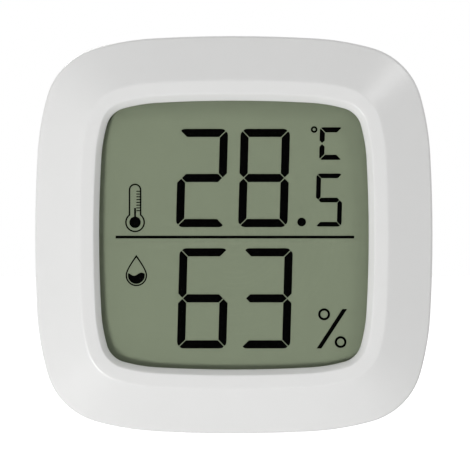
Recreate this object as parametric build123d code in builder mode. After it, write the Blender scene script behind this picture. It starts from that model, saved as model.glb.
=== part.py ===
from build123d import *
import os
from math import asin, atan2, cos, degrees, pi, radians, sin, sqrt, tan

# Square room thermometer and hygrometer, upright, with its face towards -Y.
# The origin is the middle of its footprint, on the surface that it stands on. Millimetres, +Z up.
# Depths are measured back from the flat ring on the face, places from the middle of the face.

# Case
case_size = 43.0
case_depth = 12.5
side_wall = 1.5
front_wall = 1.2
rear_wall = 1.3
slope_depth = 2.9
seam_depth = 7.6
seam_gap = 0.25
tongue_height = 1.45
tongue_wall = 0.65
lap_gap = 0.1
case_edge_width = 0.25
rear_edge_width = 1.0
overrun = 1.0
plane_tolerance = 0.001

# Outline of the case and of the window: radii of the side, shoulder and corner arcs as shares of the
# half width, and the turn in degrees at which a side arc meets its shoulder arc
case_arc_shares = (7.24, 1.354, 0.351)
window_arc_shares = (10.14, 1.176, 0.177)
side_turn = 3.2

# Window and ring
slope_width = 4.85
ring_width = 1.46
window_draft = 0.64
ring_edge_width = 0.2
mouth_edge_width = 0.15

# Display
glass_margin = 1.15
glass_thickness = 0.7
glass_ledge = 2.3
gasket_thickness = 0.3
gasket_width = 0.65
gasket_inset = 0.1
polarizer_thickness = 0.2
polarizer_inset = 0.8
reflector_thickness = 0.25
pocket_gap = 0.15
rib_wall = 0.6
holder_depth = 1.25
holder_margin = 0.25
holder_boss_gap = 0.2
holder_bar = 2.4
zebra_end_margin = 3.2
zebra_width = 1.6
zebra_gap = 0.1

# Screws
case_screw_inset = 6.0
case_screw_radius = 0.95
case_screw_bite = 2.6
case_head_radius = 1.7
case_head_height = 1.1
case_head_sink = 0.4
case_head_gap = 0.2
pillar_radius = 2.5
boss_radius = 1.6
board_screw_inset = 1.2
board_screw_radius = 0.7
board_screw_bite = 1.5
board_head_radius = 1.4
board_head_height = 0.9
post_radius = 1.5
thread_gap = 0.02
hole_gap = 0.15
screw_tip_gap = 0.3

# Main board
board_side_overhang = 0.1
board_end_gap = 1.1
board_thickness = 1.0
board_gap = 0.4
board_corner_width = 0.6

# Coin cell
cell_gap = 0.2
cell_room_share = 0.681
rim_width = 1.2
cap_rise = 0.25
crimp_depth = 0.45
cell_gasket_width = 0.4
cell_gasket_sink = 0.1
cell_edge_width = 0.2
cap_edge_width = 0.15

# Battery cup and door
cup_side_gap = 1.0
cup_floor = 0.8
cup_wall = 0.95
door_overhang = 0.1
door_flange = 0.9
door_plate = 1.2
door_rim_gap = 0.15
skirt_wall = 0.7
ledge_height = 1.0
skirt_gap = 0.1
lug_reach = 1.0
lug_height = 0.8
lug_gap = 0.1
lug_count = 3
lug_angle = 30.0
lug_play = 1.5
door_turn = 35.0
track_gap = 0.2
coin_slot_inset = 2.5
coin_slot_width = 2.0
coin_slot_depth = 0.7
door_edge_width = 0.15

# Contacts
contact_thickness = 0.25
contact_width = 3.0
contact_bend_radius = 0.6
negative_foot = 2.6
negative_inset = 1.4
negative_tip = 1.9
positive_width = 3.6
positive_foot = 2.6
positive_tip_gap = 0.2
contact_gap = 0.5

# Stand
stand_width = 15.6
stand_length = 9.2
stand_thickness = 1.6
stand_sink = 0.1
stand_barrel_radius = 0.9
stand_axis_rise = 3.3
stand_corner_radius = 2.0
stand_gap = 0.3
stand_floor = 1.0
stand_floor_gap = 0.2
stand_relief = 0.6
stand_rim = 1.3
stand_edge_width = 0.25
stand_door_gap = 2.55
trunnion_radius = 0.55
trunnion_length = 0.9
trunnion_gap = 0.05
trunnion_wall = 0.8
notch_radius = 2.0
notch_depth = 1.1

# Unit button and its switch
button_stand_gap = 0.6
button_radius = 1.8
button_sink = 0.2
button_edge_width = 0.2
button_gap = 0.1
button_flange_radius = 2.4
button_flange = 0.5
button_stem_radius = 0.9
button_touch_gap = 0.05
button_travel = 0.3
switch_width = 4.5
switch_height = 2.2
switch_corner = 0.5
switch_notch_gap = 2.25
plunger_radius = 1.0
plunger_rise = 0.7
plunger_sink = 0.9
plunger_gap = 0.06
plunger_floor_gap = 0.1

# Vents
vent_count = 4
vent_pitch = 2.2
vent_width = 1.0
vent_length = 2.6

# Small parts on the board
controller_radius = 4.5
controller_height = 1.2
controller_top_radius = 2.6
sensor_size = 2.0
sensor_height = 0.8
sensor_port_radius = 0.4
sensor_port_depth = 0.3
sensor_edge_gap = 1.2
sensor_slot_width = 0.8
sensor_slot_length = 5.0
crystal_radius = 0.75
crystal_length = 5.0
chip_length = 1.6
chip_width = 0.8
capacitor_height = 0.8
resistor_height = 0.45

# Places on the board, as shares of its half width and half height
controller_place_shares = (-0.36, -0.5)
crystal_place_shares = (0.2, -0.55)
sensor_height_share = -0.08
capacitor_place_shares = ((-0.02, -0.78), (0.16, -0.78), (0.42, -0.42), (-0.72, -0.32), (-0.72, -0.42))
resistor_place_shares = ((0.42, -0.3), (0.42, -0.54), (-0.72, -0.52), (0.86, 0.12), (0.86, 0.26), (-0.86, 0.3))

# Sizes that follow from these
case_half = case_size / 2
ring_margin = window_draft + ring_width
window_half = case_half - slope_width - ring_margin
slope_angle = atan2(slope_depth, slope_width)
inner_slope_depth = (slope_width - side_wall) * tan(slope_angle) + front_wall / cos(slope_angle)
shell_front = seam_depth + seam_gap
tongue_front = shell_front - tongue_height
floor_front = case_depth - rear_wall

case_screw_spacing = case_size - 2 * case_screw_inset
case_screw_seat = case_depth - case_head_sink - case_head_height
case_screw_tip = seam_depth - case_screw_bite
notch_edge = case_screw_spacing / 2 - boss_radius - board_gap

glass_half = window_half + glass_margin
glass_clip = 2 * glass_half - case_screw_spacing + sqrt(2) * (boss_radius + holder_margin + holder_boss_gap)
glass_front = front_wall + gasket_thickness
glass_middle = glass_front + glass_thickness
glass_back = glass_middle + glass_thickness
reflector_back = glass_back + reflector_thickness
board_front = reflector_back + holder_depth
board_back = board_front + board_thickness
zebra_place = glass_ledge / 2 - glass_half
zebra_length = 2 * (glass_half - zebra_end_margin)
holder_window_top = glass_half - holder_bar
holder_window_bottom = zebra_place + zebra_width / 2 + zebra_gap + holder_bar / 2

stand_axis_depth = case_depth - stand_sink - stand_barrel_radius
stand_axis_height = stand_axis_rise - case_half
stand_pocket_front = stand_axis_depth - stand_barrel_radius - stand_floor_gap
stand_pocket_half = stand_width / 2 + stand_gap
stand_pocket_bottom = stand_axis_height - stand_barrel_radius - stand_gap
stand_pocket_top = stand_axis_height + stand_length + stand_gap
trunnion_end = stand_width / 2 + trunnion_length

button_place_x = trunnion_end + trunnion_wall + button_stand_gap + button_flange_radius
button_place_z = switch_notch_gap + switch_width / 2 - notch_edge
button_top = case_depth - button_sink
switch_top = board_back + switch_height
plunger_top = switch_top + plunger_rise
plunger_bottom = switch_top - plunger_sink
stem_tip = plunger_top + button_touch_gap

board_width = 2 * (glass_half + board_side_overhang)
board_height = case_size - 2 * (side_wall + board_end_gap)
board_screw_spacing = board_height - 2 * board_screw_inset
board_screw_tip = board_front - board_screw_bite
sensor_place = (sensor_edge_gap + sensor_size / 2 - board_width / 2, sensor_height_share * board_height / 2)

# The cell takes the room between the stand and the top wall, and its share of the depth behind the board
skirt_reach = cell_gap + skirt_wall
track_reach = skirt_reach + lug_reach + door_rim_gap
door_reach = skirt_reach + lug_reach + door_overhang
cup_top = case_half - side_wall - cup_side_gap
cell_radius = (
    cup_top - cup_wall - track_reach - stand_pocket_top - stand_door_gap - door_rim_gap - door_reach
) / 2
cup_rise = cup_top - cup_wall - track_reach - cell_radius
cell_height = cell_room_share * (case_depth - door_plate - 2 * cell_gap - cup_floor - board_back)
cap_radius = cell_radius - rim_width
cell_back = case_depth - door_plate - cell_gap
cell_front = cell_back - cell_height
can_front = cell_front + cap_rise
cup_floor_back = cell_front - cell_gap
cup_floor_front = cup_floor_back - cup_floor
bore_radius = cell_radius + cell_gap
skirt_radius = cell_radius + skirt_reach
skirt_depth = door_flange + ledge_height + lug_gap + lug_height
door_hole_radius = skirt_radius + skirt_gap
door_radius = cell_radius + door_reach
lug_radius = skirt_radius + lug_reach
track_radius = cell_radius + track_reach
cup_collar_radius = track_radius + cup_wall
track_back = case_depth - door_flange - ledge_height
track_front = case_depth - skirt_depth - track_gap
negative_reach = cell_radius - negative_inset


def layer(depth):
    """Plane across the case at a depth behind the ring, seen from the front."""
    return Plane(origin=(0, depth - case_depth / 2, case_half), x_dir=(1, 0, 0), z_dir=(0, -1, 0))


def shelf(height):
    """Level plane at a height above the middle of the face; its y runs back from the ring."""
    return Plane(origin=(0, -case_depth / 2, case_half + height), x_dir=(1, 0, 0), z_dir=(0, 0, 1))


def flank(side):
    """Upright plane at a distance to the right of the middle; its x runs back, its y up."""
    return Plane(origin=(side, -case_depth / 2, case_half), x_dir=(0, 1, 0), z_dir=(1, 0, 0))


def bowed_square(half, arc_shares, margin=0):
    """Square with bowed sides and round corners, made of tangent arcs, with a margin all round."""
    side, shoulder, corner = (share * half + margin for share in arc_shares)
    first_turn = radians(side_turn)
    side_middle = half + margin - side
    shoulder_x = side_middle + (side - shoulder) * cos(first_turn)
    shoulder_y = (side - shoulder) * sin(first_turn)
    second_turn = pi / 4 + asin((shoulder_x - shoulder_y) / ((shoulder - corner) * sqrt(2)))
    corner_x = shoulder_x + (shoulder - corner) * cos(second_turn)
    shoulder_span = degrees(second_turn) - side_turn
    corner_span = 90 - 2 * degrees(second_turn)
    with BuildSketch() as shape:
        with BuildLine():
            for turn in range(0, 360, 90):
                centres = [
                    Vector(x, y).rotate(Axis.Z, turn)
                    for x, y in (
                        (side_middle, 0),
                        (shoulder_x, shoulder_y),
                        (corner_x, corner_x),
                        (shoulder_y, shoulder_x),
                    )
                ]
                CenterArc(centres[0], side, turn - side_turn, 2 * side_turn)
                CenterArc(centres[1], shoulder, turn + side_turn, shoulder_span)
                CenterArc(centres[2], corner, turn + degrees(second_turn), corner_span)
                CenterArc(centres[3], shoulder, turn + degrees(second_turn) + corner_span, shoulder_span)
        make_face()
    return shape.sketch


def case_outline(margin=0):
    """Outline of the whole case."""
    return bowed_square(case_half, case_arc_shares, margin)


def window_outline(margin=0):
    """Outline of the display window."""
    return bowed_square(window_half, window_arc_shares, margin)


def clipped_square(margin=0):
    """Outline of the display glass, a square with clipped corners, with a margin all round."""
    with BuildSketch() as shape:
        Rectangle(2 * (glass_half + margin), 2 * (glass_half + margin))
        chamfer(shape.vertices(), glass_clip + (2 - sqrt(2)) * margin)
    return shape.sketch


def ring_sector(inner, outer, middle, span):
    """Sector of a ring, by its radii, the angle of its middle and its span in degrees."""
    start, end = radians(middle - span / 2), radians(middle + span / 2)
    with BuildSketch() as shape:
        with BuildLine():
            CenterArc((0, 0), outer, degrees(start), span)
            Line((outer * cos(end), outer * sin(end)), (inner * cos(end), inner * sin(end)))
            CenterArc((0, 0), inner, degrees(start), span)
            Line((inner * cos(start), inner * sin(start)), (outer * cos(start), outer * sin(start)))
        make_face()
    return shape.sketch


def edges_at(part, depth):
    """Edges of a part that lie in the plane at a depth."""
    place = depth - case_depth / 2
    return part.edges().filter_by_position(Axis.Y, place - plane_tolerance, place + plane_tolerance)


def finish(part, name):
    """Names a finished piece and writes its file."""
    part.label = name
    export_step(part, f"parts/{name}.step")


os.makedirs("parts", exist_ok=True)
case_screw_places = list(GridLocations(case_screw_spacing, case_screw_spacing, 2, 2))
board_screw_places = list(GridLocations(0, board_screw_spacing, 1, 2))

# Outer form of the front bezel: the face slopes back from the ring to a straight side wall
with BuildPart() as bezel_form:
    with BuildSketch(layer(0)):
        add(window_outline(ring_margin))
    with BuildSketch(layer(slope_depth)):
        add(case_outline())
    loft(ruled=True)
    with BuildSketch(layer(seam_depth)):
        add(case_outline())
    extrude(amount=seam_depth - slope_depth)
    chamfer(edges_at(bezel_form, 0), ring_edge_width)
    chamfer(edges_at(bezel_form, slope_depth), case_edge_width)

# Room inside the bezel, around its screw bosses, board posts and the rib around the glass pocket
with BuildPart() as bezel_room:
    with BuildSketch(layer(inner_slope_depth)):
        add(case_outline(-side_wall))
    extrude(amount=inner_slope_depth - front_wall, taper=90 - degrees(slope_angle))
    with BuildSketch(layer(seam_depth + overrun)):
        add(case_outline(-side_wall))
    extrude(amount=seam_depth + overrun - inner_slope_depth)
    with BuildSketch(layer(seam_depth + overrun)):
        add(case_outline(tongue_wall + lap_gap - side_wall))
    extrude(amount=seam_depth + overrun - tongue_front + lap_gap)
    with BuildSketch(layer(seam_depth + overrun)):
        with Locations(case_screw_places):
            Circle(boss_radius)
    extrude(amount=seam_depth + overrun, mode=Mode.SUBTRACT)
    with BuildSketch(layer(board_front)):
        with Locations(board_screw_places):
            Circle(post_radius)
    extrude(amount=board_front, mode=Mode.SUBTRACT)
    with BuildSketch(layer(glass_back)):
        add(clipped_square(pocket_gap + rib_wall))
    extrude(amount=glass_back, mode=Mode.SUBTRACT)
    with BuildSketch(layer(glass_back)):
        add(clipped_square(pocket_gap))
    extrude(amount=glass_back - front_wall)

# Front bezel
with BuildPart() as front_bezel:
    add(bezel_form.part)
    add(bezel_room.part, mode=Mode.SUBTRACT)
    with BuildSketch(layer(0)):
        add(window_outline(window_draft))
    with BuildSketch(layer(front_wall)):
        add(window_outline())
    loft(ruled=True, mode=Mode.SUBTRACT)
    chamfer(front_bezel.faces().sort_by(Axis.Y)[0].inner_wires().edges(), mouth_edge_width)
    with BuildSketch(layer(seam_depth)):
        with Locations(case_screw_places):
            Circle(case_screw_radius + thread_gap)
    extrude(amount=seam_depth - case_screw_tip + screw_tip_gap, mode=Mode.SUBTRACT)
    with BuildSketch(layer(board_front)):
        with Locations(board_screw_places):
            Circle(board_screw_radius + thread_gap)
    extrude(amount=board_front - board_screw_tip + screw_tip_gap, mode=Mode.SUBTRACT)
finish(front_bezel.part, "front_bezel")

# Outer form of the rear shell with the tongue that fits inside the bezel
with BuildPart() as shell_form:
    with BuildSketch(layer(case_depth)):
        add(case_outline())
    extrude(amount=case_depth - shell_front)
    chamfer(edges_at(shell_form, case_depth), rear_edge_width)
    with BuildSketch(layer(shell_front)):
        add(case_outline(tongue_wall - side_wall))
    extrude(amount=tongue_height)

# Room inside the rear shell, around the battery cup, screw pillars and stand pocket
with BuildPart() as shell_room:
    with BuildSketch(layer(floor_front)):
        add(case_outline(-side_wall))
    extrude(amount=floor_front - tongue_front + overrun)
    with BuildSketch(layer(floor_front)):
        with Locations((0, cup_rise)):
            Circle(cup_collar_radius)
    extrude(amount=floor_front - track_front + cup_wall, mode=Mode.SUBTRACT)
    with BuildSketch(layer(floor_front)):
        with Locations((0, cup_rise)):
            Circle(bore_radius + cup_wall)
    extrude(amount=floor_front - cup_floor_front, mode=Mode.SUBTRACT)
    with BuildSketch(layer(floor_front)):
        with Locations(case_screw_places):
            Circle(pillar_radius)
    extrude(amount=floor_front - seam_depth, mode=Mode.SUBTRACT)
    with BuildSketch(layer(floor_front)):
        with Locations((0, (stand_pocket_bottom + stand_pocket_top) / 2)):
            Rectangle(
                2 * (trunnion_end + trunnion_wall),
                stand_pocket_top - stand_pocket_bottom + 2 * side_wall,
            )
    extrude(amount=floor_front - stand_pocket_front + stand_floor, mode=Mode.SUBTRACT)

# Rear shell
with BuildPart() as rear_shell:
    add(shell_form.part)
    add(shell_room.part, mode=Mode.SUBTRACT)
    # Seat of the door, its hole, and the bore for the cell
    with BuildSketch(layer(case_depth)):
        with Locations((0, cup_rise)):
            Circle(door_radius + door_rim_gap)
    extrude(amount=door_flange, mode=Mode.SUBTRACT)
    with BuildSketch(layer(case_depth)):
        with Locations((0, cup_rise)):
            Circle(door_hole_radius)
    extrude(amount=case_depth - track_front, mode=Mode.SUBTRACT)
    with BuildSketch(layer(case_depth)):
        with Locations((0, cup_rise)):
            Circle(bore_radius)
    extrude(amount=case_depth - cup_floor_back, mode=Mode.SUBTRACT)
    # Entry notches through the ledge, and the tracks that the lugs turn in below it
    lug_place = 360 / lug_count
    for index in range(lug_count):
        locked = 90 + index * lug_place
        opened = locked - door_turn
        reach = lug_angle + 2 * lug_play
        with BuildSketch(layer(case_depth)):
            with Locations((0, cup_rise)):
                add(ring_sector(bore_radius, track_radius, opened, reach))
        extrude(amount=case_depth - track_front, mode=Mode.SUBTRACT)
        with BuildSketch(layer(track_back)):
            with Locations((0, cup_rise)):
                add(ring_sector(bore_radius, track_radius, (locked + opened) / 2, reach + door_turn))
        extrude(amount=track_back - track_front, mode=Mode.SUBTRACT)
    # Window in the cup floor for the negative contact, slot in its wall for the positive one
    with BuildSketch(layer(cup_floor_back)):
        with Locations((0, cup_rise)):
            Rectangle(2 * (negative_reach - negative_foot), contact_width + 2 * contact_gap)
    extrude(amount=cup_floor, mode=Mode.SUBTRACT)
    with BuildSketch(layer(track_front)):
        with Locations((0, cup_rise - bore_radius)):
            Rectangle(positive_width + 2 * contact_gap, 2 * (cup_wall + contact_gap))
    extrude(amount=track_front - cup_floor_front, mode=Mode.SUBTRACT)
    # Counterbored screw holes
    with BuildSketch(layer(case_depth)):
        with Locations(case_screw_places):
            Circle(case_head_radius + case_head_gap)
    extrude(amount=case_depth - case_screw_seat, mode=Mode.SUBTRACT)
    with BuildSketch(layer(case_depth)):
        with Locations(case_screw_places):
            Circle(case_screw_radius + hole_gap)
    extrude(amount=case_depth - seam_depth, mode=Mode.SUBTRACT)
    # Pocket of the stand, the bearing holes beside it, and the notch for a fingernail
    with BuildSketch(layer(case_depth)):
        with Locations((0, (stand_pocket_bottom + stand_pocket_top) / 2)):
            Rectangle(2 * stand_pocket_half, stand_pocket_top - stand_pocket_bottom)
    extrude(amount=case_depth - stand_pocket_front, mode=Mode.SUBTRACT)
    with BuildSketch(layer(case_depth)):
        with Locations((0, stand_pocket_top)):
            Circle(notch_radius)
    extrude(amount=notch_depth, mode=Mode.SUBTRACT)
    with BuildSketch(flank(-trunnion_end - trunnion_gap)):
        with Locations((stand_axis_depth, stand_axis_height)):
            Circle(trunnion_radius + trunnion_gap)
    extrude(amount=2 * (trunnion_end + trunnion_gap), mode=Mode.SUBTRACT)
    # Hole for the unit button
    with BuildSketch(layer(case_depth)):
        with Locations((button_place_x, button_place_z)):
            Circle(button_radius + button_gap)
    extrude(amount=rear_wall, mode=Mode.SUBTRACT)
    # Vents through both side walls beside the sensor
    vent_middle = (shell_front + case_depth - rear_edge_width) / 2
    for side in (-1, 1):
        with BuildSketch(flank(side * (case_half + overrun))):
            with Locations((vent_middle, 0)), GridLocations(0, vent_pitch, 1, vent_count):
                SlotOverall(vent_length, vent_width)
        extrude(amount=-side * (side_wall + 2 * overrun), mode=Mode.SUBTRACT)
finish(rear_shell.part, "rear_shell")

# Case screws, with the head sunk below the back
with BuildPart() as case_screws:
    with BuildSketch(layer(case_screw_seat)):
        with Locations(case_screw_places):
            Circle(case_head_radius)
    extrude(amount=-case_head_height)
    with BuildSketch(layer(case_screw_seat)):
        with Locations(case_screw_places):
            Circle(case_screw_radius)
    extrude(amount=case_screw_seat - case_screw_tip)
finish(case_screws.part, "case_screws")

# Foam gasket between the bezel's lip and the glass
with BuildPart() as lcd_gasket:
    with BuildSketch(layer(glass_front)):
        add(clipped_square(-gasket_inset))
        add(clipped_square(-gasket_inset - gasket_width), mode=Mode.SUBTRACT)
    extrude(amount=gasket_thickness)
finish(lcd_gasket.part, "lcd_gasket")

# Front polarizer, stuck on the front glass inside the gasket
with BuildPart() as front_polarizer:
    with BuildSketch(layer(glass_front)):
        add(clipped_square(-polarizer_inset))
    extrude(amount=polarizer_thickness)
finish(front_polarizer.part, "front_polarizer")

# Front glass
with BuildPart() as lcd_front_glass:
    with BuildSketch(layer(glass_middle)):
        add(clipped_square())
    extrude(amount=glass_thickness)
finish(lcd_front_glass.part, "lcd_front_glass")

# Rear glass, cut short at the bottom to bare the contact ledge of the front glass
with BuildPart() as lcd_rear_glass:
    with BuildSketch(layer(glass_back)):
        add(clipped_square())
        with Locations((0, glass_ledge / 2 - glass_half)):
            Rectangle(2 * glass_half, glass_ledge, mode=Mode.SUBTRACT)
    extrude(amount=glass_thickness)
finish(lcd_rear_glass.part, "lcd_rear_glass")

# Rear polarizer with its reflector, on the rear glass
with BuildPart() as reflector_film:
    with BuildSketch(layer(reflector_back)):
        add(clipped_square(-gasket_inset))
        with Locations((0, glass_ledge / 2 - glass_half)):
            Rectangle(2 * glass_half, glass_ledge + 2 * gasket_inset, mode=Mode.SUBTRACT)
    extrude(amount=reflector_thickness)
finish(reflector_film.part, "reflector_film")

# Zebra strip from the contact ledge to the board
with BuildPart() as zebra_strip:
    with BuildSketch(layer(board_front)):
        with Locations((0, zebra_place)):
            Rectangle(zebra_length, zebra_width)
    extrude(amount=board_front - glass_middle)
finish(zebra_strip.part, "zebra_strip")

# Display holder, a frame with a slot for the zebra strip
with BuildPart() as lcd_holder:
    with BuildSketch(layer(board_front)):
        add(clipped_square(holder_margin))
        with Locations((0, (holder_window_top + holder_window_bottom) / 2)):
            Rectangle(
                2 * holder_window_top, holder_window_top - holder_window_bottom, mode=Mode.SUBTRACT
            )
        with Locations((0, zebra_place)):
            Rectangle(zebra_length + 2 * zebra_gap, zebra_width + 2 * zebra_gap, mode=Mode.SUBTRACT)
    extrude(amount=holder_depth)
finish(lcd_holder.part, "lcd_holder")

# Main board, notched around the case screws, with a slot that keeps warmth off the sensor
with BuildPart() as main_board:
    with BuildSketch(layer(board_back)) as board_sketch:
        Rectangle(board_width, 2 * notch_edge)
        Rectangle(2 * notch_edge, board_height)
        chamfer(board_sketch.vertices(), board_corner_width)
        with Locations(board_screw_places):
            Circle(board_screw_radius + hole_gap, mode=Mode.SUBTRACT)
        with Locations((sensor_place[0] + sensor_size / 2 + sensor_slot_width, sensor_place[1])):
            SlotOverall(sensor_slot_length, sensor_slot_width, rotation=90, mode=Mode.SUBTRACT)
    extrude(amount=board_thickness)
finish(main_board.part, "main_board")

# Board screws
with BuildPart() as board_screws:
    with BuildSketch(layer(board_back)):
        with Locations(board_screw_places):
            Circle(board_head_radius)
    extrude(amount=-board_head_height)
    with BuildSketch(layer(board_back)):
        with Locations(board_screw_places):
            Circle(board_screw_radius)
    extrude(amount=board_back - board_screw_tip)
finish(board_screws.part, "board_screws")


def board_point(shares):
    """Place on the board, given as shares of its half width and half height."""
    return (shares[0] * board_width / 2, shares[1] * board_height / 2)


# Controller, bonded to the board under a low drop of epoxy
with BuildPart() as controller_chip:
    for depth, radius in ((board_back, controller_radius), (board_back + controller_height, controller_top_radius)):
        with BuildSketch(layer(depth)):
            with Locations(board_point(controller_place_shares)):
                Circle(radius)
    loft(ruled=True)
finish(controller_chip.part, "controller_chip")

# Humidity and temperature sensor with its port
with BuildPart() as humidity_sensor:
    with BuildSketch(layer(board_back)):
        with Locations(sensor_place):
            Rectangle(sensor_size, sensor_size)
    extrude(amount=-sensor_height)
    with BuildSketch(layer(board_back + sensor_height)):
        with Locations(sensor_place):
            Circle(sensor_port_radius)
    extrude(amount=sensor_port_depth, mode=Mode.SUBTRACT)
finish(humidity_sensor.part, "humidity_sensor")

# Clock crystal, a small can lying on the board
with BuildPart() as crystal:
    crystal_x, crystal_z = board_point(crystal_place_shares)
    with BuildSketch(shelf(crystal_z - crystal_length / 2)):
        with Locations((crystal_x, board_back + crystal_radius)):
            Circle(crystal_radius)
    extrude(amount=crystal_length)
finish(crystal.part, "crystal")

# Chip capacitors and resistors
for name, places, height in (
    ("chip_capacitors", capacitor_place_shares, capacitor_height),
    ("chip_resistors", resistor_place_shares, resistor_height),
):
    with BuildPart() as chips:
        with BuildSketch(layer(board_back)):
            with Locations([board_point(shares) for shares in places]):
                Rectangle(chip_length, chip_width)
        extrude(amount=-height)
    finish(chips.part, name)

# Switch under the unit button
with BuildPart() as switch_body:
    with BuildSketch(layer(switch_top)):
        with Locations((button_place_x, button_place_z)):
            RectangleRounded(switch_width, switch_width, switch_corner)
    extrude(amount=switch_height)
    with BuildSketch(layer(switch_top)):
        with Locations((button_place_x, button_place_z)):
            Circle(plunger_radius + plunger_gap)
    extrude(amount=plunger_sink + button_travel + plunger_floor_gap, mode=Mode.SUBTRACT)
finish(switch_body.part, "switch_body")

# Plunger of the switch
with BuildPart() as switch_plunger:
    with BuildSketch(layer(plunger_top)):
        with Locations((button_place_x, button_place_z)):
            Circle(plunger_radius)
    extrude(amount=plunger_top - plunger_bottom)
finish(switch_plunger.part, "switch_plunger")

# Unit button: a cap in the rear wall, a flange behind it, and a stem to the plunger
with BuildPart() as unit_button:
    with BuildSketch(layer(button_top)):
        with Locations((button_place_x, button_place_z)):
            Circle(button_radius)
    extrude(amount=button_top - floor_front)
    chamfer(edges_at(unit_button, button_top), button_edge_width)
    with BuildSketch(layer(floor_front)):
        with Locations((button_place_x, button_place_z)):
            Circle(button_flange_radius)
    extrude(amount=button_flange)
    with BuildSketch(layer(floor_front)):
        with Locations((button_place_x, button_place_z)):
            Circle(button_stem_radius)
    extrude(amount=floor_front - stem_tip)
finish(unit_button.part, "unit_button")

# Negative contact: a leaf that rises from the board through the cup floor to the cell cap
with BuildPart() as negative_contact:
    half_sheet = contact_thickness / 2
    with BuildSketch(shelf(cup_rise - contact_width / 2)):
        with BuildLine() as negative_path:
            FilletPolyline(
                (-negative_reach, board_back + half_sheet),
                (negative_foot - negative_reach, board_back + half_sheet),
                (0, cell_front - half_sheet),
                (negative_tip, cell_front - half_sheet - negative_tip / 2),
                radius=contact_bend_radius,
            )
        trace(negative_path.line, contact_thickness)
    extrude(amount=contact_width)
finish(negative_contact.part, "negative_contact")

# Positive contact: a leaf that stands up beside the can and touches it
with BuildPart() as positive_contact:
    leaf_height = cup_rise - cell_radius - half_sheet
    with BuildSketch(flank(-positive_width / 2)):
        with BuildLine() as positive_path:
            FilletPolyline(
                (board_back + half_sheet, leaf_height - positive_foot),
                (board_back + half_sheet, leaf_height),
                (track_front - positive_tip_gap, leaf_height),
                radius=contact_bend_radius,
            )
        trace(positive_path.line, contact_thickness)
    extrude(amount=positive_width)
finish(positive_contact.part, "positive_contact")

# Can of the coin cell, with a step at the front for the gasket and the cap
with BuildPart() as cell_can:
    with BuildSketch(layer(cell_back)):
        with Locations((0, cup_rise)):
            Circle(cell_radius)
    extrude(amount=cell_back - can_front)
    chamfer(edges_at(cell_can, can_front), cell_edge_width)
    with BuildSketch(layer(can_front)):
        with Locations((0, cup_rise)):
            Circle(cap_radius + cell_gasket_width)
    extrude(amount=-crimp_depth, mode=Mode.SUBTRACT)
finish(cell_can.part, "cell_can")

# Sealing ring between can and cap
with BuildPart() as cell_gasket:
    with BuildSketch(layer(can_front + crimp_depth)):
        with Locations((0, cup_rise)):
            Circle(cap_radius + cell_gasket_width)
            Circle(cap_radius, mode=Mode.SUBTRACT)
    extrude(amount=crimp_depth + cell_gasket_sink)
finish(cell_gasket.part, "cell_gasket")

# Cap of the coin cell
with BuildPart() as cell_cap:
    with BuildSketch(layer(can_front + crimp_depth)):
        with Locations((0, cup_rise)):
            Circle(cap_radius)
    extrude(amount=crimp_depth + cap_rise)
    chamfer(edges_at(cell_cap, cell_front), cap_edge_width)
finish(cell_cap.part, "cell_cap")

# Battery door: a plate in the back, a skirt around the cell, and lugs that lock below the ledge
with BuildPart() as battery_door:
    with BuildSketch(layer(case_depth)):
        with Locations((0, cup_rise)):
            Circle(door_radius)
    extrude(amount=door_flange)
    chamfer(edges_at(battery_door, case_depth), door_edge_width)
    with BuildSketch(layer(case_depth - door_flange)):
        with Locations((0, cup_rise)):
            Circle(skirt_radius)
    extrude(amount=door_plate - door_flange)
    with BuildSketch(layer(case_depth - door_flange)):
        with Locations((0, cup_rise)):
            Circle(skirt_radius)
            Circle(bore_radius, mode=Mode.SUBTRACT)
    extrude(amount=skirt_depth - door_flange)
    with BuildSketch(layer(case_depth - skirt_depth + lug_height)):
        with Locations((0, cup_rise)):
            for index in range(lug_count):
                add(ring_sector(bore_radius, lug_radius, 90 + index * lug_place, lug_angle))
    extrude(amount=lug_height)
    with BuildSketch(layer(case_depth)):
        with Locations((0, cup_rise)):
            SlotOverall(2 * (cell_radius - coin_slot_inset), coin_slot_width)
    extrude(amount=coin_slot_depth, mode=Mode.SUBTRACT)
finish(battery_door.part, "battery_door")

# Stand: a foot with a barrel along its lower edge, relieved inside, on two trunnions
with BuildPart() as stand:
    stand_back = case_depth - stand_sink
    with BuildSketch(layer(stand_back)) as stand_sketch:
        with Locations((0, stand_axis_height + stand_length / 2)):
            Rectangle(stand_width, stand_length)
        fillet(stand_sketch.vertices().group_by(Axis.Y)[-1], stand_corner_radius)
    extrude(amount=stand_thickness)
    chamfer(edges_at(stand, stand_back).sort_by(Axis.Z)[1:], stand_edge_width)
    with BuildSketch(layer(stand_back - stand_thickness)):
        with Locations((0, stand_axis_height + (stand_length + stand_barrel_radius) / 2)):
            Rectangle(
                stand_width - 2 * stand_rim,
                stand_length - stand_barrel_radius - 2 * stand_rim,
            )
    extrude(amount=-stand_relief, mode=Mode.SUBTRACT)
    with BuildSketch(flank(-stand_width / 2)):
        with Locations((stand_axis_depth, stand_axis_height)):
            Circle(stand_barrel_radius)
    extrude(amount=stand_width)
    with BuildSketch(flank(-trunnion_end)):
        with Locations((stand_axis_depth, stand_axis_height)):
            Circle(trunnion_radius)
    extrude(amount=2 * trunnion_end)
finish(stand.part, "stand")
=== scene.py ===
import bpy
import bmesh
from math import asin, cos, pi, radians, sin, sqrt
from mathutils import Matrix, Vector


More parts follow.
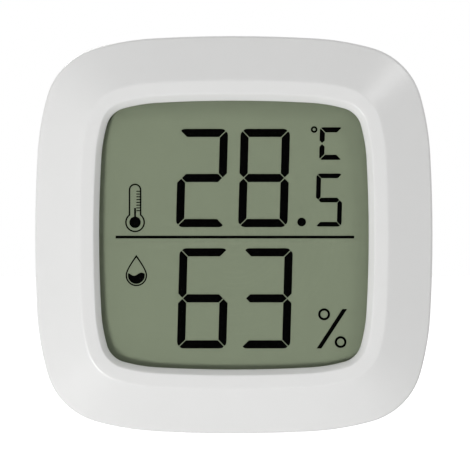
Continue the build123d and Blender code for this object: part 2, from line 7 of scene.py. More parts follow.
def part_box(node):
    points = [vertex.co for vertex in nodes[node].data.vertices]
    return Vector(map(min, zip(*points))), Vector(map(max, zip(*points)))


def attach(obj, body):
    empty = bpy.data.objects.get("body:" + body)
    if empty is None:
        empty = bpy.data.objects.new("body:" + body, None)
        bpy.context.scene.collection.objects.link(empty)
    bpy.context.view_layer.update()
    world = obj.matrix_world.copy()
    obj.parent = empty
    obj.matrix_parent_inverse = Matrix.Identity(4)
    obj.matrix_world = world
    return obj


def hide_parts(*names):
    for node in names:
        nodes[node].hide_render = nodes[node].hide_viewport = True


# Square room thermometer and hygrometer, 43 mm across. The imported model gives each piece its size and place.
# Lengths are metres, the face looks towards -Y, and depths are measured back from the face.
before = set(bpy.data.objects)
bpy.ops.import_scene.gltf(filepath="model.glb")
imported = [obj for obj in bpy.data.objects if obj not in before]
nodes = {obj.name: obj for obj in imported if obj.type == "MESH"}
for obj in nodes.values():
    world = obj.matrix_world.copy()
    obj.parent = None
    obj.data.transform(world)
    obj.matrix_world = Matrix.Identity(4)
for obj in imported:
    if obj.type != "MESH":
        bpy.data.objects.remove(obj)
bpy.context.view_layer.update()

# Front bezel: one white satin ABS moulding. Its face slopes back on all four sides from a narrow flat ring,
# and a short wall drops from the ring to the display, shallow at its mouth and steep below. Bosses for the
# case screws and posts for the board stand up inside.
bezel_low, bezel_high = (Vector(corner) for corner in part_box("front_bezel"))
case_half = (bezel_high.x - bezel_low.x) / 2
face_y = bezel_low.y
middle_z = (bezel_low.z + bezel_high.z) / 2
seam_depth = bezel_high.y - bezel_low.y
slope_depth = 0.0029
slope_width = 0.00485
ring_width = 0.00146
window_draft = 0.00064
window_top_drop = 0.00008
mouth_draft = 0.0006
mouth_depth = 0.00082
lip_depth = 0.0012
lip_width = 0.0005
lip_back_slope = 0.0001
pocket_inset = 0.0003
side_wall = 0.0015
inner_depth = 0.0034
ring_margin = ring_width + window_draft
window_half = case_half - slope_width - ring_margin
# Each side of an outline is a long bowed arc between two rounder ones, and the corners are rounder still.
# The three radii are shares of half the outline's width.
case_arc_shares = (7.24, 1.354, 0.351)
window_arc_shares = (10.14, 1.176, 0.177)
side_turn = radians(3.2)
side_steps, shoulder_steps, corner_steps = 8, 8, 14
screw_inset = 0.006
screw_place = case_half - screw_inset
boss_radius = 0.0016
post_place = 0.0177
post_radius = 0.0015
post_root_depth = 0.003
post_end_depth = 0.0044


def linear(text):
    """Linear colour of an sRGB hex colour."""
    values = [int(text[at:at + 2], 16) / 255 for at in (0, 2, 4)]
    return [v / 12.92 if v <= 0.04045 else ((v + 0.055) / 1.055) ** 2.4 for v in values] + [1.0]


def add_node(tree, kind, links=(), **settings):
    """Adds a shader node with its settings, and links output sockets to its inputs."""
    node = tree.nodes.new(kind)
    for name, value in settings.items():
        if name in node.inputs:
            node.inputs[name].default_value = value
        else:
            setattr(node, name, value)
    for socket, source in links:
        tree.links.new(source, node.inputs[socket])
    return node


def surface(name, colour, rough, grain_mm, bump, tint=0.04, spread=0.05, stretch=(1, 1, 1), **sockets):
    """Material of one colour whose grain, of a real size, varies its gloss, its height and its tone."""
    # A grain under 0.1 mm wouldn't show in a picture of the whole, so none is given a finer one
    grain = grain_mm / 1000
    # Patches of tone are 25 grains across
    patch_scale = 0.04
    made = bpy.data.materials.new(name)
    made.use_nodes = True
    tree = made.node_tree
    tree.nodes.clear()
    place = add_node(tree, "ShaderNodeTexCoord")
    scale = [share / grain for share in stretch]
    scaled = add_node(tree, "ShaderNodeMapping", [("Vector", place.outputs["Object"])], Scale=scale)
    across = [("Vector", scaled.outputs["Vector"])]
    fine = add_node(tree, "ShaderNodeTexNoise", across, Scale=1.0, Detail=3.0, Roughness=0.6)
    grains = fine.outputs["Fac"]
    gloss_range = {"To Min": rough - spread, "To Max": rough + spread}
    gloss = add_node(tree, "ShaderNodeMapRange", [("Value", grains)], **gloss_range)
    links = [("Roughness", gloss.outputs["Result"])]
    if bump:
        height = add_node(tree, "ShaderNodeBump", [("Height", grains)], Strength=bump, Distance=grain)
        links.append(("Normal", height.outputs["Normal"]))
    shade = linear(colour)
    if tint:
        broad = add_node(tree, "ShaderNodeTexNoise", across, Scale=patch_scale, Detail=2.0)
        tone = add_node(tree, "ShaderNodeValToRGB", [("Fac", broad.outputs["Fac"])])
        for stop, share in zip(tone.color_ramp.elements, (1 - tint, 1 + tint)):
            stop.color = [min(1.0, value * share) for value in shade[:3]] + [1.0]
        links.append(("Base Color", tone.outputs["Color"]))
    else:
        sockets["Base Color"] = shade
    shader = add_node(tree, "ShaderNodeBsdfPrincipled", links, **sockets)
    add_node(tree, "ShaderNodeOutputMaterial", [("Surface", shader.outputs["BSDF"])])
    return made


def add_piece(name, form, material, body, bevel=0.0):
    """Makes an object of a finished form; its sharp edges are eased by a bevel width, or else stay sharp."""
    kept_sharp, eased_from = radians(50), radians(30)
    mesh = bpy.data.meshes.new(name)
    bmesh.ops.recalc_face_normals(form, faces=form.faces)
    for face in form.faces:
        face.smooth = True
    for edge in form.edges:
        if not bevel and edge.is_manifold and edge.calc_face_angle() > kept_sharp:
            edge.smooth = False
    form.to_mesh(mesh)
    form.free()
    piece = bpy.data.objects.new(name, mesh)
    bpy.context.scene.collection.objects.link(piece)
    mesh.materials.append(material)
    if bevel:
        eased = piece.modifiers.new("eased_edges", "BEVEL")
        eased.width = bevel
        eased.segments = 2
        eased.limit_method = "ANGLE"
        eased.angle_limit = eased_from
    weighted = piece.modifiers.new("weighted_normals", "WEIGHTED_NORMAL")
    weighted.keep_sharp = True
    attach(piece, body)
    return piece


def add_arc(form, centre, radius, start, span, steps, depth):
    """Spins a point into an arc that is parallel to the face, at a depth behind it."""
    first = (centre[0] + radius * cos(start), face_y + depth, middle_z + centre[1] + radius * sin(start))
    bmesh.ops.spin(
        form,
        geom=[form.verts.new(first)],
        cent=(centre[0], face_y + depth, middle_z + centre[1]),
        axis=(0, -1, 0),
        angle=span,
        steps=steps,
        use_duplicate=False,
    )


def bowed_loop(form, half, arc_shares, margin, depth):
    """Closed loop around a square with bowed sides and round corners; gives its edges."""
    before = set(form.edges)
    side, shoulder, corner = (share * half + margin for share in arc_shares)
    side_x = half + margin - side
    shoulder_x = side_x + (side - shoulder) * cos(side_turn)
    shoulder_z = (side - shoulder) * sin(side_turn)
    corner_turn = pi / 4 + asin((shoulder_x - shoulder_z) / ((shoulder - corner) * sqrt(2)))
    corner_x = shoulder_x + (shoulder - corner) * cos(corner_turn)
    shoulder_span = corner_turn - side_turn
    arcs = (
        ((side_x, 0), side, -side_turn, 2 * side_turn, side_steps),
        ((shoulder_x, shoulder_z), shoulder, side_turn, shoulder_span, shoulder_steps),
        ((corner_x, corner_x), corner, corner_turn, pi / 2 - 2 * corner_turn, corner_steps),
        ((shoulder_z, shoulder_x), shoulder, pi / 2 - corner_turn, shoulder_span, shoulder_steps),
    )
    for quarter in range(4):
        turn = quarter * pi / 2
        for (x, z), radius, start, span, steps in arcs:
            centre = (x * cos(turn) - z * sin(turn), x * sin(turn) + z * cos(turn))
            add_arc(form, centre, radius, start + turn, span, steps, depth)
    added = {vert for edge in set(form.edges) - before for vert in edge.verts}
    bmesh.ops.remove_doubles(form, verts=list(added), dist=1e-7)
    return [edge for edge in form.edges if edge not in before]


def case_loop(form, margin, depth):
    """Loop along the outline of the case."""
    return bowed_loop(form, case_half, case_arc_shares, margin, depth)


def window_loop(form, margin, depth):
    """Loop along the outline of the display window."""
    return bowed_loop(form, window_half, window_arc_shares, margin, depth)


def round_edges(form, edges, width, steps):
    """Rounds edges by a width on each side."""
    bmesh.ops.bevel(
        form,
        geom=[edge for edge in edges if edge.is_valid],
        offset=width,
        offset_type="OFFSET",
        segments=steps,
        profile=0.5,
        affect="EDGES",
        material=-1,
    )


def facing(x, y, z):
    """Matrix that turns a form to the viewer and sets it at y, with x and z from the middle of the face."""
    return Matrix.Translation((x, y, middle_z + z)) @ Matrix.Rotation(pi / 2, 4, "X")


def add_rod(form, x, z, radius, front, back):
    """Solid round rod from one depth to another."""
    bmesh.ops.create_cone(
        form,
        cap_ends=True,
        segments=40,
        radius1=radius,
        radius2=radius,
        depth=back - front,
        matrix=facing(x, face_y + (front + back) / 2, z),
    )


# ABS moulded in a fine satin tool: soft, broad highlights, and light that spreads a little inside
abs_gloss = {"IOR": 1.5, "Specular IOR Level": 0.4}
abs_scatter = {"Subsurface Weight": 0.25, "Subsurface Scale": 0.0006, "Subsurface Radius": (1.0, 1.0, 1.0)}
case_white = surface(
    "white_abs",
    "E9E9E8",
    rough=0.34,
    grain_mm=0.12,
    bump=0.05,
    tint=0.006,
    spread=0.03,
    **abs_gloss,
    **abs_scatter,
)
form = bmesh.new()
lip_back = window_loop(form, lip_width, lip_depth + lip_back_slope)
lip_edge = window_loop(form, 0.0, lip_depth)
mouth_edge = window_loop(form, window_draft - mouth_draft, mouth_depth)
window_edge = window_loop(form, window_draft, 0.0)
ring_edge = window_loop(form, ring_margin, 0.0)
case_edge = case_loop(form, 0.0, slope_depth)
seam_edge = case_loop(form, 0.0, seam_depth)
seam_inside = case_loop(form, -side_wall, seam_depth)
face_inside = case_loop(form, -side_wall, inner_depth)
pocket_edge = window_loop(form, ring_margin - pocket_inset, lip_depth)
# The top of the window is a little lower than in a square one, and its other sides stay in place
bmesh.ops.scale(
    form,
    verts=list({vert for edge in lip_back + lip_edge + mouth_edge for vert in edge.verts}),
    vec=(1, 1, 1 - window_top_drop / (2 * window_half)),
    space=Matrix.Translation((0, 0, window_half - middle_z)),
)
outside = [lip_back, lip_edge, mouth_edge, window_edge, ring_edge, case_edge, seam_edge]
loops = outside + [seam_inside, face_inside, pocket_edge]
for first, second in zip(loops, loops[1:] + loops[:1]):
    bmesh.ops.bridge_loops(form, edges=first + second)
for edges, width, steps in (
    (mouth_edge, 0.00004, 2),
    (window_edge, 0.00012, 4),
    (ring_edge, 0.00016, 4),
    (case_edge, 0.0003, 5),
    (seam_edge, 0.00012, 3),
):
    round_edges(form, edges, width, steps)
screw_places = [(x, z) for x in (-screw_place, screw_place) for z in (-screw_place, screw_place)]
for x, z in screw_places:
    add_rod(form, x, z, boss_radius, inner_depth, seam_depth)
for z in (-post_place, post_place):
    add_rod(form, 0.0, z, post_radius, post_root_depth, post_end_depth)
bezel = add_piece("bezel_moulding", form, case_white, "housing")
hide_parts("front_bezel")

# Display gasket: a frame cut from black open-cell foam, between the lip of the bezel and the glass. It
# keeps dust out and takes up the play in the stack. The foam is dull, with a coarse pitted surface.
foam = surface("black_foam", "202124", rough=0.9, grain_mm=0.3, bump=0.4, tint=0.2)


def dress(name, material):
    """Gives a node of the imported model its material."""
    for slot in nodes[name].material_slots:
        slot.link = "OBJECT"
        slot.material = material


dress("lcd_gasket", foam)

# Display cell: two glasses with liquid crystal between them, between a polarizing film in front and a
# reflecting one behind. Its ground is a thin sheet where the liquid seems to lie through film and glass,
# because the clear glass here doesn't bend light. What lies behind the sheet is dressed as foil.
glass_ior = 1.52
sheet_thickness = 0.00001
ground_cut = 0.0027
film_low, film_high = (Vector(corner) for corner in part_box("front_polarizer"))
glass_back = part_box("lcd_front_glass")[1][1]
cell_y = film_low.y + (glass_back - film_low.y) / glass_ior
ground_y = cell_y - 2 * sheet_thickness
ink_y = cell_y - 4 * sheet_thickness


def new_verts(made):
    """The vertices in what an operator made."""
    return [item for item in made["geom"] if isinstance(item, bmesh.types.BMVert)]


def thicken(form):
    """Gives flat faces the thickness of a thin sheet, away from the viewer."""
    made = bmesh.ops.extrude_face_region(form, geom=form.faces[:])
    bmesh.ops.translate(form, verts=new_verts(made), vec=(0, sheet_thickness, 0))


# Clear glass and matt film are nearly all see-through, with a faint gloss of their own
glass = surface(
    "display_glass", "0A0C0A", rough=0.12, grain_mm=2.0, bump=0.0, tint=0.0, spread=0.02, Alpha=0.01
)
film = surface(
    "polarizer_film", "0A0C0A", rough=0.3, grain_mm=0.3, bump=0.01, tint=0.0, spread=0.04, Alpha=0.03
)
# Bright foil behind the cell throws the light back, slightly diffused
foil = surface("reflector_foil", "B8BBB8", rough=0.35, grain_mm=0.2, bump=0.1, Metallic=0.9)
dress("front_polarizer", film)
dress("lcd_front_glass", glass)
dress("lcd_rear_glass", foil)
dress("reflector_film", foil)
# Liquid crystal that isn't driven looks an even, matt grey-green over the foil
cell_dull = {"Specular IOR Level": 0.2}
ground = surface(
    "display_ground", "88927A", rough=0.5, grain_mm=0.2, bump=0.0, tint=0.02, spread=0.04, **cell_dull
)
form = bmesh.new()
bmesh.ops.create_grid(
    form,
    x_segments=1,
    y_segments=1,
    size=(film_high.x - film_low.x) / 2,
    matrix=facing(0, ground_y, 0),
)
bmesh.ops.bevel(
    form, geom=form.verts[:], offset=ground_cut, segments=1, profile=0.5, affect="VERTICES", material=-1
)
thicken(form)
add_piece("display_field", form, ground, "housing")

# Reading: the driven parts of the cell, which turn black. Two readings of seven-segment figures stand above
# and below a line, with a small tenth, a degree sign with C, a percent sign, a thermometer and a drop.
# Places are measured across and up from the middle of the face.
slant = 0.027
large_segment = {"bar": 0.00088, "gap": 0.00007, "corner": 0.00072}
tenth_segment = {"bar": 0.0005, "gap": 0.00004, "corner": 0.0004}
unit_segment = {"bar": 0.00055, "gap": 0.00006, "corner": 0.0003}
middle_line = {"left": -0.01278, "foot": -0.0004, "right": 0.013, "top": -0.00011}
slash_x, slash_z = 0.00894, -0.01229
slash_width, slash_height, slash_run = 0.00052, 0.00426, 0.00278
point_x, point_z, point_radius = 0.00732, 0.00137, 0.00047
bulb_x, bulb_z = -0.01068, 0.00134
tube_half, tube_top, bulb_radius, tube_line = 0.00068, 0.0035, 0.00107, 0.00016
cap_steps, bulb_steps = 12, 32
bulb_fill_radius = 0.00062
bulb_stem = {"left": -0.0001, "foot": 0.0004, "right": 0.0001, "top": 0.00155}
tick_count, first_tick, tick_pitch, tick_line = 8, 0.0012, 0.0003, 0.00011
tick_left, tick_right = 0.00014, 0.00057
drop_x, drop_z, drop_radius, drop_tip, drop_line = -0.01054, -0.0044, 0.00116, 0.00223, 0.00015
flank_turn, flank_bow, flank_steps, bowl_steps = 0.15, 0.00055, 12, 36
fill_radius, fill_start, fill_span, fill_steps = 0.00091, pi - radians(15), radians(210), 24
wave_half, wave_middle, wave_height, wave_start, wave_length = 0.0008, 0.00014, 0.00017, 0.00015, 0.0016
wave_steps = 20


def arc(radius, start, span, steps, z=0.0):
    """Points along an arc whose centre is z above the middle of its figure."""
    turns = [start + span * n / steps for n in range(steps + 1)]
    return [(radius * cos(turn), z + radius * sin(turn)) for turn in turns]


def rectangle(left, foot, right, top):
    """Corners of an upright rectangle."""
    return [(left, foot), (right, foot), (right, top), (left, top)]


def place_points(form, points, x, z, lean=0.0):
    """Vertices of a figure's outline, set at a place on the face."""
    return [form.verts.new((x + px + lean * pz, ink_y, middle_z + z + pz)) for px, pz in points]


def close_loop(form, verts):
    """Joins vertices in a closed loop and gives its edges."""
    return [form.edges.new((verts[n - 1], verts[n])) for n in range(len(verts))]


def edges_among(form, verts):
    """Edges with both ends among some vertices."""
    return [edge for edge in form.edges if all(vert in verts for vert in edge.verts)]


def add_figure(form, points, x=0.0, z=0.0, lean=0.0):
    """Flat figure from the points of its outline."""
    form.faces.new(place_points(form, points, x, z, lean))


def add_line(form, outline, x, z, stroke):
    """Flat line just inside a closed outline, which is a function of its margin."""
    edges = []
    for margin in (0.0, stroke):
        edges += close_loop(form, place_points(form, outline(margin), x, z))
    bmesh.ops.bridge_loops(form, edges=edges)


def add_disc(form, x, z, radius):
    """Flat round figure."""
    bmesh.ops.create_circle(form, cap_ends=True, segments=40, radius=radius, matrix=facing(x, ink_y, z))


def add_ring(form, x, z, radius, stroke, steps):
    """Flat ring just inside a radius."""
    place = facing(x, ink_y, z)
    rims = []
    for rim_radius in (radius, radius - stroke):
        rims += bmesh.ops.create_circle(form, segments=steps, radius=rim_radius, matrix=place)["verts"]
    bmesh.ops.bridge_loops(form, edges=edges_among(form, rims))


def add_digit(form, lit, x, z, width, height, bar, gap, corner):
    """Seven-segment figure with its lower left corner at a place; lit names its segments."""
    half = height / 2
    near, far = corner * (1 - sin(pi / 4)), corner * (1 - sin(pi / 8))
    rise = corner * (1 - cos(pi / 8))
    end = [
        (corner, height),
        (far, height - rise),
        (near + gap, height - near),
        (bar + gap, height - bar),
        (width - bar - gap, height - bar),
        (width - near - gap, height - near),
        (width - far, height - rise),
        (width - corner, height),
    ]
    side = [
        (0, height - corner),
        (rise, height - far),
        (near, height - near - gap),
        (bar, height - bar - gap),
        (bar, half + bar / 2 + gap),
        (bar / 2, half + gap),
        (0, half + bar / 2 + gap),
    ]
    middle = [
        (bar / 2 + gap, half),
        (bar + gap, half + bar / 2),
        (width - bar - gap, half + bar / 2),
        (width - bar / 2 - gap, half),
        (width - bar - gap, half - bar / 2),
        (bar + gap, half - bar / 2),
    ]
    segments = {
        "a": end,
        "b": [(width - px, pz) for px, pz in side],
        "c": [(width - px, height - pz) for px, pz in side],
        "d": [(px, height - pz) for px, pz in end],
        "e": [(px, height - pz) for px, pz in side],
        "f": side,
        "g": middle,
    }
    for letter in lit:
        add_figure(form, segments[letter], x, z, slant)


def thermometer(margin):
    """Outline of the tube and the bulb, around the middle of the bulb."""
    tube, bulb = tube_half - margin, bulb_radius - margin
    neck = asin(tube / bulb)
    return arc(tube, 0.0, pi, cap_steps, tube_top) + arc(bulb, pi / 2 + neck, 2 * pi - 2 * neck, bulb_steps)


def drop(margin):
    """Outline of the drop: a round part with two bowed flanks that meet in the tip."""
    round_part = drop_radius - margin
    tip = drop_tip * round_part / drop_radius
    root_x, root_z = round_part * cos(flank_turn), round_part * sin(flank_turn)
    bow_x, bow_z = root_x - flank_bow * sin(flank_turn), root_z + flank_bow * cos(flank_turn)
    flank = []
    for t in (n / flank_steps for n in range(1, flank_steps)):
        to_tip, to_bow, to_root = (1 - t) ** 2, 2 * t * (1 - t), t * t
        flank.append((to_bow * bow_x + to_root * root_x, to_tip * tip + to_bow * bow_z + to_root * root_z))
    bowl = arc(round_part, flank_turn, -pi - 2 * flank_turn, bowl_steps)
    return [(0.0, tip)] + flank + bowl + [(-px, pz) for px, pz in reversed(flank)]


# Driven liquid crystal lets nearly no light back, so it is a flat black without gloss
ink = surface(
    "display_ink", "030303", rough=0.8, grain_mm=0.5, bump=0.0, tint=0.1, **{"Specular IOR Level": 0.0}
)
form = bmesh.new()
for lit, x, z, width, height, segment in (
    ("abged", -0.00627, 0.00082, 0.00536, 0.01062, large_segment),
    ("abcdefg", 0.00045, 0.00082, 0.00534, 0.01062, large_segment),
    ("afgedc", -0.00616, -0.01229, 0.00534, 0.01083, large_segment),
    ("abgcd", 0.00065, -0.01229, 0.00543, 0.01083, large_segment),
    ("afgcd", 0.00878, 0.00088, 0.00284, 0.00573, tenth_segment),
    ("afed", 0.00921, 0.00809, 0.00245, 0.00352, unit_segment),
):
    add_digit(form, lit, x, z, width, height, **segment)
add_disc(form, point_x, point_z, point_radius)
# Rings of the degree sign and the percent sign
for x, z, radius, stroke, steps in (
    (0.00867, 0.01137, 0.00036, 0.0002, 28),
    (0.00975, -0.0086, 0.00065, 0.00025, 36),
    (0.01153, -0.0116, 0.00064, 0.00025, 36),
):
    add_ring(form, x, z, radius, stroke, steps)
add_figure(form, rectangle(0.0, 0.0, slash_width, slash_height), slash_x, slash_z, slash_run / slash_height)
add_figure(form, rectangle(**middle_line))
add_line(form, thermometer, bulb_x, bulb_z, tube_line)
add_disc(form, bulb_x, bulb_z, bulb_fill_radius)
add_figure(form, rectangle(**bulb_stem), bulb_x, bulb_z)
for tick in range(tick_count):
    tick_z = first_tick + tick * tick_pitch
    add_figure(form, rectangle(tick_left, tick_z, tick_right, tick_z + tick_line), bulb_x, bulb_z)
add_line(form, drop, drop_x, drop_z, drop_line)
# The drop is filled up to a wavy surface
wave_places = [wave_half * (1 - 2 * n / wave_steps) for n in range(wave_steps + 1)]
wave = [(x, wave_middle + wave_height * sin(2 * pi * (x - wave_start) / wave_length)) for x in wave_places]
add_figure(form, arc(fill_radius, fill_start, fill_span, fill_steps) + wave, drop_x, drop_z)
thicken(form)
add_piece("display_figures", form, ink, "housing")

# Display holder: a frame moulded in white plastic that keeps the cell off the board. The zebra strip beside
# it is silicone rubber in thin layers, one conducting and one not in turn, squeezed between the glass ledge
# and the board.

# Polystyrene moulded in a plain tool is a satin, slightly warm white
holder_white = surface("holder_plastic", "DCDCD6", rough=0.5, grain_mm=0.2, bump=0.05, tint=0.02)
dress("lcd_holder", holder_white)
# Carbon-filled and plain layers, 0.18 mm apart, look like fine dark and light stripes
layers_across = (1, 0.01, 0.01)
zebra = surface(
    "striped_rubber", "3A3A3C", rough=0.7, grain_mm=0.18, bump=0.3, tint=0.9, stretch=layers_across
)
dress("zebra_strip", zebra)

# Board: glass-fibre laminate on two posts of the bezel, held by two steel screws. It carries the controller
# under its epoxy drop, the vented sensor chip, the clock crystal, the chip capacitors and resistors, and
# the switch under the unit button.

# Zinc-plated steel is a bright grey with a fine satin
steel = surface("zinc_steel", "B4B6B8", rough=0.32, grain_mm=0.1, bump=0.05, tint=0.05, Metallic=1.0)
# Fired ceramic is tan and faintly speckled
ceramic = surface("capacitor_ceramic", "A98A62", rough=0.45, grain_mm=0.2, bump=0.05, tint=0.08)
for name, material in (
    # Green lacquer over copper tracks: glossy, with soft unevenness in tone
    ("main_board", surface("solder_mask", "1F5A36", rough=0.35, grain_mm=0.4, bump=0.1, tint=0.15)),
    ("board_screws", steel),
    # Epoxy that set where it ran: smooth and black
    ("controller_chip", surface("black_epoxy", "141416", rough=0.28, grain_mm=0.6, bump=0.1, tint=0.2)),
    # Moulded chip plastic, matt and near black
    ("humidity_sensor", surface("chip_plastic", "1C1C1E", rough=0.5, grain_mm=0.1, bump=0.1, tint=0.1)),
    # Drawn can of plated steel, bright
    ("crystal", surface("crystal_can", "C6C8CA", rough=0.25, grain_mm=0.2, bump=0.05, Metallic=1.0)),
    ("chip_capacitors", ceramic),
    # Black glaze over the resistor film
    ("chip_resistors", surface("resistor_glaze", "18181A", rough=0.35, grain_mm=0.2, bump=0.05, tint=0.1)),
    # Moulded nylon, dark in the body and tan in the plunger
    ("switch_body", surface("switch_plastic", "232325", rough=0.5, grain_mm=0.2, bump=0.05)),
    ("switch_plunger", surface("plunger_plastic", "B9A27C", rough=0.5, grain_mm=0.2, bump=0.05)),
):
    dress(name, material)

# Coin cell and its contacts: one leaf under the cell and one at its side, both bent from plated strip. The
# cell is a steel can with a steel cap, sealed by a nylon gasket, and it lies in the cup of the rear shell.
along_strip, along_can = (1, 6, 6), (0.2, 4, 4)
# Nickel-plated strip and brushed stainless steel keep the fine lines of rolling along their length
nickel = surface(
    "nickel_strip", "B9B7AE", rough=0.3, grain_mm=0.2, bump=0.05, Metallic=1.0, stretch=along_strip
)
cell_steel = surface(
    "cell_steel", "C3C4C5", rough=0.26, grain_mm=0.3, bump=0.04, Metallic=1.0, stretch=along_can
)
dress("negative_contact", nickel)
dress("positive_contact", nickel)
dress("cell_can", cell_steel)
dress("cell_cap", cell_steel)
# Moulded nylon is a dull dark grey
dress("cell_gasket", surface("cell_nylon", "4A4A4C", rough=0.5, grain_mm=0.2, bump=0.05))

# Rear shell: the other half of the case, one ABS moulding with the battery cup, the pocket of the stand, the
# seats of the four screws and the vents in it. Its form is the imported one, with eased edges.
shell_bevel = 0.00007
# ABS from a spark-eroded tool is duller than the front, with an even grain of about 0.3 mm
case_textured = surface(
    "spark_textured_abs", "E6E6E4", rough=0.5, grain_mm=0.3, bump=0.12, tint=0.01, spread=0.05, **abs_gloss
)


def node_form(name):
    """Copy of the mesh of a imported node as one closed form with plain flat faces."""
    form = bmesh.new()
    form.from_mesh(nodes[name].data)
    bmesh.ops.remove_doubles(form, verts=form.verts, dist=1e-6)
    bmesh.ops.dissolve_limit(
        form,
        angle_limit=radians(1),
        verts=form.verts,
        edges=form.edges,
        use_dissolve_boundaries=False,
    )
    return form


shell_form = node_form("rear_shell")
shell = add_piece("rear_moulding", shell_form, case_textured, "housing", shell_bevel)
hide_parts("rear_shell")

# Battery door: a round ABS moulding with three bayonet lugs, turned by a coin in the slot across it. It
# closes the battery cup, flush with the back.
door_form = node_form("battery_door")
door = add_piece("door_moulding", door_form, case_textured, "battery_door", shell_bevel)
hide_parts("battery_door")

# Stand: a flat ABS foot on two trunnions, snapped into the pocket at the bottom of the back. It folds out
# by a fingernail in the scoop above it.
small_bevel = 0.0001
foot_form = node_form("stand")
foot = add_piece("stand_moulding", foot_form, case_textured, "stand", small_bevel)
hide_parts("stand")

# Unit button: a small ABS cap with a flange, put into its hole from inside before the case is closed, so it
# can't fall out. Behind it is the switch on the board.

# Grey ABS from a plain tool is slightly glossier than the shell around it
button_grey = surface("grey_abs", "8F9194", rough=0.45, grain_mm=0.15, bump=0.05, tint=0.02)
button_form = node_form("unit_button")
button = add_piece("button_moulding", button_form, button_grey, "unit_button", small_bevel)
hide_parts("unit_button")

# Case screws: four pan-head steel screws through the rear shell into the bosses of the bezel. Each head is
# cold-formed, with a rounded rim and a cross recess that narrows towards its floor.
screws_low, screws_high = (Vector(corner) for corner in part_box("case_screws"))
screw_length = screws_high.y - screws_low.y
head_radius, head_height, head_round = 0.0017, 0.0011, 0.0003
shank_radius = 0.00095
recess_half, recess_arm, recess_depth, recess_floor_share = 0.00095, 0.00019, 0.0007, 0.6


def pull_rim(form, rim, depth=0.0, share=1.0):
    """Extrudes the open edges along a rim, lowers and scales the new rim, and gives its vertices."""
    open_edges = [edge for edge in edges_among(form, rim) if len(edge.link_faces) < 2]
    made = new_verts(bmesh.ops.extrude_edge_only(form, edges=open_edges))
    bmesh.ops.translate(form, verts=made, vec=(0, 0, -depth))
    bmesh.ops.scale(form, verts=made, vec=(share, share, 1.0))
    return made


form = bmesh.new()
rim = bmesh.ops.create_circle(form, cap_ends=False, segments=48, radius=head_radius)["verts"]
cross = []
for quarter in range(4):
    turn = Matrix.Rotation(quarter * pi / 2, 3, "Z")
    for x, y in ((recess_half, -recess_arm), (recess_half, recess_arm), (recess_arm, recess_arm)):
        cross.append(form.verts.new(turn @ Vector((x, y, 0))))
close_loop(form, cross)
bmesh.ops.triangle_fill(form, edges=form.edges[:], use_beauty=True, use_dissolve=False, normal=(0, 0, 1))
recess_mouth = []
for face in form.faces:
    middle = face.calc_center_median()
    if all(vert in cross for vert in face.verts) and min(abs(middle.x), abs(middle.y)) < recess_arm:
        recess_mouth.append(face)
bmesh.ops.delete(form, geom=recess_mouth, context="FACES")
recess_floor = pull_rim(form, cross, depth=recess_depth, share=recess_floor_share)
bmesh.ops.contextual_create(form, geom=edges_among(form, recess_floor))
head_foot = pull_rim(form, rim, depth=head_height)
neck = pull_rim(form, head_foot, share=shank_radius / head_radius)
tip = pull_rim(form, neck, depth=screw_length - head_height)
bmesh.ops.contextual_create(form, geom=edges_among(form, tip))
round_edges(form, edges_among(form, rim), head_round, steps=4)
bmesh.ops.transform(form, matrix=Matrix.Rotation(-pi / 2, 4, "X"), verts=form.verts)
first_screw = form.verts[:] + form.edges[:] + form.faces[:]
first_x, first_z = screw_places[0]
for x, z in screw_places[1:]:
    copy = bmesh.ops.duplicate(form, geom=first_screw)
    bmesh.ops.translate(form, verts=new_verts(copy), vec=(x - first_x, 0, z - first_z))
bmesh.ops.translate(form, verts=form.verts, vec=(first_x, screws_high.y, middle_z + first_z))
screws = add_piece("case_screw_set", form, steel, "housing")
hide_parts("case_screws")

# Studio: a plain pale floor and a pale room, a soft lamp low on the left and a weaker one high on the right.
# A third lamp stands behind, for views of the back.
floor_half = 3.0
floor_glow = {"Emission Color": (1, 1, 1, 1), "Emission Strength": 0.6}
lamp_distance = 0.8
form = bmesh.new()
bmesh.ops.create_grid(form, x_segments=2, y_segments=2, size=floor_half)
floor_mesh = bpy.data.meshes.new("floor")
form.to_mesh(floor_mesh)
form.free()
floor = bpy.data.objects.new("floor", floor_mesh)
bpy.context.scene.collection.objects.link(floor)
# White paper, lit so evenly that it shows no shade
paper = surface("pale_floor", "FFFFFF", rough=0.8, grain_mm=10, bump=0.0, tint=0.0, **floor_glow)
floor_mesh.materials.append(paper)
floor.visible_diffuse = False
floor.visible_glossy = False
floor.visible_shadow = False

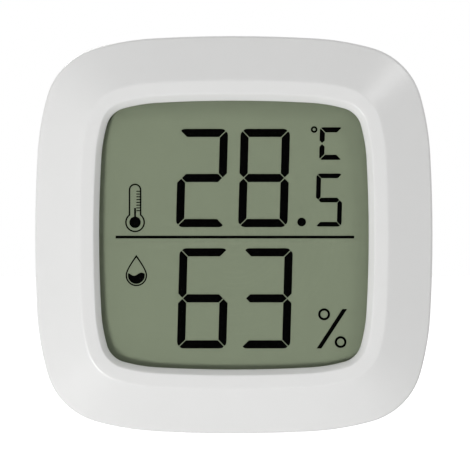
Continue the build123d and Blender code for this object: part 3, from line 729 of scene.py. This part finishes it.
# The room is dim in front, bright at the sides and between the two behind; the camera sees plain white
front_light, side_light, back_light = 0.19, 0.67, 0.45
world = bpy.data.worlds.new("pale_room")
bpy.context.scene.world = world
world.use_nodes = True
tree = world.node_tree
tree.nodes.clear()
heading = add_node(tree, "ShaderNodeTexCoord")
split = add_node(tree, "ShaderNodeSeparateXYZ", [("Vector", heading.outputs["Generated"])])
along = add_node(tree, "ShaderNodeMapRange", [("Value", split.outputs["Y"])], **{"From Min": -1.0})
ramp = add_node(tree, "ShaderNodeValToRGB", [("Fac", along.outputs["Result"])])
ramp.color_ramp.elements.new(position=0.5)
for stop, light in zip(ramp.color_ramp.elements, (front_light, side_light, back_light)):
    stop.color = (light, light, light, 1)
room = add_node(tree, "ShaderNodeBackground", [("Color", ramp.outputs["Color"])], Strength=1.0)
seen = add_node(tree, "ShaderNodeBackground", Color=(1, 1, 1, 1), Strength=1.0)
path = add_node(tree, "ShaderNodeLightPath")
mixed = add_node(
    tree,
    "ShaderNodeMixShader",
    [(0, path.outputs["Is Camera Ray"]), (1, room.outputs["Background"]), (2, seen.outputs["Background"])],
)
add_node(tree, "ShaderNodeOutputWorld", [("Surface", mixed.outputs["Shader"])])
bpy.context.scene.view_settings.view_transform = "Standard"

for name, towards, size, power in (
    ("key", (-0.46, -0.8, -0.41), 0.22, 3.95),
    ("rim", (0.62, -0.47, 0.62), 0.16, 1.1),
    ("back", (-0.35, 0.75, 0.56), 0.3, 2.2),
):
    lamp = bpy.data.lights.new(name, "AREA")
    lamp.shape = "DISK"
    lamp.size = size
    lamp.energy = power
    placed = bpy.data.objects.new(name, lamp)
    placed.location = Vector((0, face_y, middle_z)) + Vector(towards).normalized() * lamp_distance
    placed.rotation_euler = Vector(towards).to_track_quat("Z", "Y").to_euler()
    bpy.context.scene.collection.objects.link(placed)

# Camera: straight in front of the face, far enough off that the sides don't show. The photograph is about
# 51 mm wide at the face.
photo_width = 0.05067
sensor_width = 36.0
camera_distance = 0.8
camera_x, camera_rise = 0.00012, -0.00003
view = bpy.data.cameras.new("photo_view")
view.sensor_width = sensor_width
view.lens = sensor_width * camera_distance / photo_width
view.clip_start = 0.01
camera = bpy.data.objects.new("photo_view", view)
camera.location = (camera_x, face_y - camera_distance, middle_z + camera_rise)
camera.rotation_euler = (pi / 2, 0, 0)
bpy.context.scene.collection.objects.link(camera)
bpy.context.scene.camera = camera
